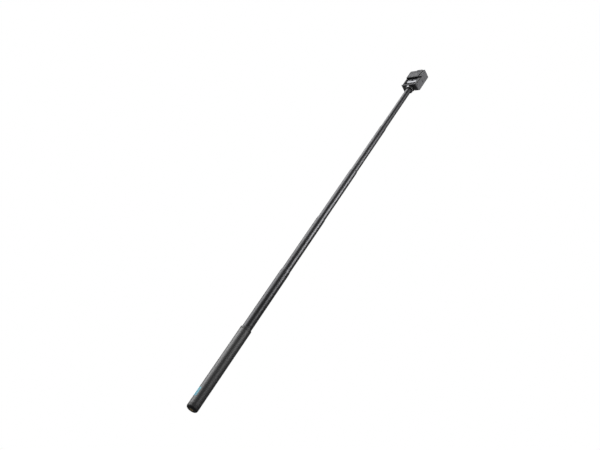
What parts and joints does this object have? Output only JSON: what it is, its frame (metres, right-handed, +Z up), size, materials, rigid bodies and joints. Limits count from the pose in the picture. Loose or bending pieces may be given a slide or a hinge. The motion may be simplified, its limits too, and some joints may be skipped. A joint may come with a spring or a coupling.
{
  "type": "selfie stick",
  "caption": "Telescopic selfie stick: smooth handle with a tripod socket, nested round tubes, and a tilting, swivelling head with a spring-loaded sliding phone clamp.",
  "frame": {"origin": "mouth of the tripod socket, in the middle of the handle's bottom face", "axes": "+Z up the pole towards the clamp, -Y towards the side that holds the phone, +X to the right seen from that side"},
  "size_m": [0.052, 0.028, 1.2232],
  "materials": {
    "black_polymer": "moulded glass-filled nylon, fine satin texture",
    "brass_insert": "machined",
    "anodised_tube": "satin black anodised, drawn tube",
    "grip_sleeve": "smooth satin soft-touch coating",
    "cyan_inlay": "plain satin cyan inlay",
    "bright_steel": "turned, bright",
    "grey_polymer": "moulded ABS, satin spark-eroded texture",
    "jaw_cover": "moulded ABS, satin",
    "dark_screws": "black oxide",
    "acetal": "turned acetal",
    "rubber": "moulded silicone rubber, matte",
    "spring_steel": "drawn spring wire",
    "polished_steel": "polished stainless sheet",
    "chrome_rod": "ground and chromed rod"
  },
  "bodies": {
    "handle": {"end_cap": "black_polymer", "tripod_insert": "brass_insert", "handle_tube": "anodised_tube", "grip_sleeve": "grip_sleeve", "nose_ring": "black_polymer", "accent_inlay": "cyan_inlay", "mouth_liner_0": "acetal"},
    "section_1": {"tube_1": "anodised_tube", "guide_bush_1": "acetal", "mouth_liner_1": "acetal"},
    "section_2": {"tube_2": "anodised_tube", "guide_bush_2": "acetal", "mouth_liner_2": "acetal"},
    "section_3": {"tube_3": "anodised_tube", "guide_bush_3": "acetal", "mouth_liner_3": "acetal"},
    "section_4": {"tube_4": "anodised_tube", "guide_bush_4": "acetal", "mouth_liner_4": "acetal"},
    "section_5": {"tube_5": "anodised_tube", "guide_bush_5": "acetal", "neck_collar": "black_polymer", "swivel_screw": "bright_steel"},
    "neck": {"neck_knuckle": "black_polymer", "stem_clip": "bright_steel"},
    "clamp": {"clamp_housing": "grey_polymer", "back_cover": "grey_polymer", "cover_screws": "dark_screws", "guide_block": "acetal", "tilt_pin": "bright_steel", "friction_washers": "rubber", "lower_pad": "rubber", "rest_strips": "rubber", "jaw_spring_left": "spring_steel", "jaw_spring_right": "spring_steel"},
    "jaw": {"jaw_block": "grey_polymer", "jaw_cover": "jaw_cover", "upper_pad": "rubber", "slide_plate": "polished_steel", "plate_screws": "bright_steel", "guide_rods": "chrome_rod"}
  },
  "joints": [
    {"name": "section_1_slide", "type": "slide", "parent": "handle", "child": "section_1", "axis": [0, 0, 1], "range_m": [-0.181, 0]},
    {"name": "section_2_slide", "type": "slide", "parent": "section_1", "child": "section_2", "axis": [0, 0, 1], "range_m": [-0.181, 0]},
    {"name": "section_3_slide", "type": "slide", "parent": "section_2", "child": "section_3", "axis": [0, 0, 1], "range_m": [-0.181, 0]},
    {"name": "section_4_slide", "type": "slide", "parent": "section_3", "child": "section_4", "axis": [0, 0, 1], "range_m": [-0.181, 0]},
    {"name": "section_5_slide", "type": "slide", "parent": "section_4", "child": "section_5", "axis": [0, 0, 1], "range_m": [-0.169, 0]},
    {"name": "neck_swivel", "type": "hinge", "parent": "section_5", "child": "neck", "pos_m": [0, 0, 1.1435], "axis": [0, 0, 1], "continuous": true},
    {"name": "clamp_tilt", "type": "hinge", "parent": "neck", "child": "clamp", "pos_m": [0, 0.0032, 1.1577], "axis": [1, 0, 0], "range_deg": [-90, 0]},
    {"name": "jaw_slide", "type": "slide", "parent": "clamp", "child": "jaw", "axis": [0, 0, 1], "range_m": [0, 0.048], "stiffness_N_per_m": 120, "springref_m": -0.03, "deforming": ["jaw_spring_left", "jaw_spring_right"]}
  ]
}
